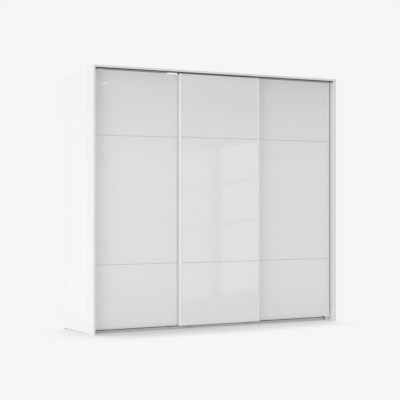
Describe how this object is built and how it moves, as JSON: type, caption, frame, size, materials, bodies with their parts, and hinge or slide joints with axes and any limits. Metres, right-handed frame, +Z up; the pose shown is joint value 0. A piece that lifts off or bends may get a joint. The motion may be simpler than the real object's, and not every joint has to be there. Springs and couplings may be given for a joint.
{
  "type": "sliding door wardrobe",
  "caption": "Wide wardrobe with top-hung sliding glass-faced doors in a white surround frame, hanging space and shelves behind them.",
  "frame": {"origin": "centre of the base on the floor: middle of the width and of the depth", "axes": "+X to the right seen from the front, along the width; +Y from the front to the back; +Z up"},
  "size_m": [2.34, 0.63, 2.12],
  "materials": {
    "white_panel": "satin white melamine-faced board",
    "white_frame": "satin white lacquered board",
    "white_back": "white printed fibreboard, matt",
    "door_board": "white-faced board behind the glass",
    "white_glass": "white back-painted glass, polished",
    "white_profile": "satin white powder-coated aluminium",
    "dark_rail": "anodised extrusion with a dark front face",
    "guide_rail": "natural anodised extrusion",
    "steel_fittings": "zinc-plated steel",
    "chrome_rail": "polished chrome",
    "white_plastic": "matt white moulding",
    "roller_plastic": "hard nylon roller",
    "black_plastic": "matt black moulding",
    "rubber_buffers": "black rubber"
  },
  "bodies": {
    "cabinet": {"side_left": "white_panel", "side_right": "white_panel", "partition_left": "white_panel", "partition_right": "white_panel", "top_panel": "white_panel", "bottom_panels": "white_panel", "plinth_rails": "white_panel", "hat_shelves": "white_panel", "middle_shelves": "white_panel", "frame_left": "white_frame", "frame_right": "white_frame", "frame_top_fascia": "white_frame", "frame_top_cover": "white_frame", "back_panels": "white_back", "back_joiners": "white_plastic", "clothes_rails": "chrome_rail", "rail_sockets": "steel_fittings", "shelf_pins": "steel_fittings", "frame_brackets": "steel_fittings", "wood_screws": "steel_fittings", "pan_screws": "steel_fittings", "cam_fittings": "steel_fittings", "wall_brackets": "steel_fittings", "running_rail": "dark_rail", "rail_stops": "rubber_buffers", "guide_rail": "guide_rail", "guide_rail_stops": "black_plastic", "glides": "black_plastic"},
    "left_door": {"left_door_board": "door_board", "left_door_glass_top": "white_glass", "left_door_glass_middle": "white_glass", "left_door_glass_bottom": "white_glass", "left_door_edge_profiles": "white_profile", "left_door_end_trims": "white_profile", "left_door_hangers": "steel_fittings", "left_door_guides": "black_plastic", "left_door_hanger_cap": "white_plastic"},
    "left_door_rollers_left": {"left_door_rollers_left": "roller_plastic"},
    "left_door_rollers_right": {"left_door_rollers_right": "roller_plastic"},
    "middle_door": {"middle_door_board": "door_board", "middle_door_glass_top": "white_glass", "middle_door_glass_middle": "white_glass", "middle_door_glass_bottom": "white_glass", "middle_door_edge_profiles": "white_profile", "middle_door_end_trims": "white_profile", "middle_door_hangers": "steel_fittings", "middle_door_guides": "black_plastic"},
    "middle_door_rollers_left": {"middle_door_rollers_left": "roller_plastic"},
    "middle_door_rollers_right": {"middle_door_rollers_right": "roller_plastic"},
    "right_door": {"right_door_board": "door_board", "right_door_glass_top": "white_glass", "right_door_glass_middle": "white_glass", "right_door_glass_bottom": "white_glass", "right_door_edge_profiles": "white_profile", "right_door_end_trims": "white_profile", "right_door_hangers": "steel_fittings", "right_door_guides": "black_plastic"},
    "right_door_rollers_left": {"right_door_rollers_left": "roller_plastic"},
    "right_door_rollers_right": {"right_door_rollers_right": "roller_plastic"}
  },
  "joints": [
    {"name": "left_door_slide", "type": "slide", "parent": "cabinet", "child": "left_door", "axis": [1, 0, 0], "range_m": [0, 0.368]},
    {"name": "left_door_rollers_left_spin", "type": "hinge", "parent": "left_door", "child": "left_door_rollers_left", "pos_m": [-1.07, -0.247, 2.1048], "axis": [0, 1, 0], "continuous": true},
    {"name": "left_door_rollers_right_spin", "type": "hinge", "parent": "left_door", "child": "left_door_rollers_right", "pos_m": [-0.44, -0.247, 2.1048], "axis": [0, 1, 0], "continuous": true},
    {"name": "middle_door_slide", "type": "slide", "parent": "cabinet", "child": "middle_door", "axis": [1, 0, 0], "range_m": [-0.755, 0.755]},
    {"name": "middle_door_rollers_left_spin", "type": "hinge", "parent": "middle_door", "child": "middle_door_rollers_left", "pos_m": [-0.315, -0.283, 2.1048], "axis": [0, 1, 0], "continuous": true},
    {"name": "middle_door_rollers_right_spin", "type": "hinge", "parent": "middle_door", "child": "middle_door_rollers_right", "pos_m": [0.315, -0.283, 2.1048], "axis": [0, 1, 0], "continuous": true},
    {"name": "right_door_slide", "type": "slide", "parent": "cabinet", "child": "right_door", "axis": [1, 0, 0], "range_m": [-0.368, 0]},
    {"name": "right_door_rollers_left_spin", "type": "hinge", "parent": "right_door", "child": "right_door_rollers_left", "pos_m": [0.44, -0.247, 2.1048], "axis": [0, 1, 0], "continuous": true},
    {"name": "right_door_rollers_right_spin", "type": "hinge", "parent": "right_door", "child": "right_door_rollers_right", "pos_m": [1.07, -0.247, 2.1048], "axis": [0, 1, 0], "continuous": true}
  ],
  "couplings": [
    {"joint": "left_door_rollers_left_spin", "follows": "left_door_slide", "rad_per_m": 142.86},
    {"joint": "left_door_rollers_right_spin", "follows": "left_door_slide", "rad_per_m": 142.86},
    {"joint": "middle_door_rollers_left_spin", "follows": "middle_door_slide", "rad_per_m": 142.86},
    {"joint": "middle_door_rollers_right_spin", "follows": "middle_door_slide", "rad_per_m": 142.86},
    {"joint": "right_door_rollers_left_spin", "follows": "right_door_slide", "rad_per_m": 142.86},
    {"joint": "right_door_rollers_right_spin", "follows": "right_door_slide", "rad_per_m": 142.86}
  ]
}
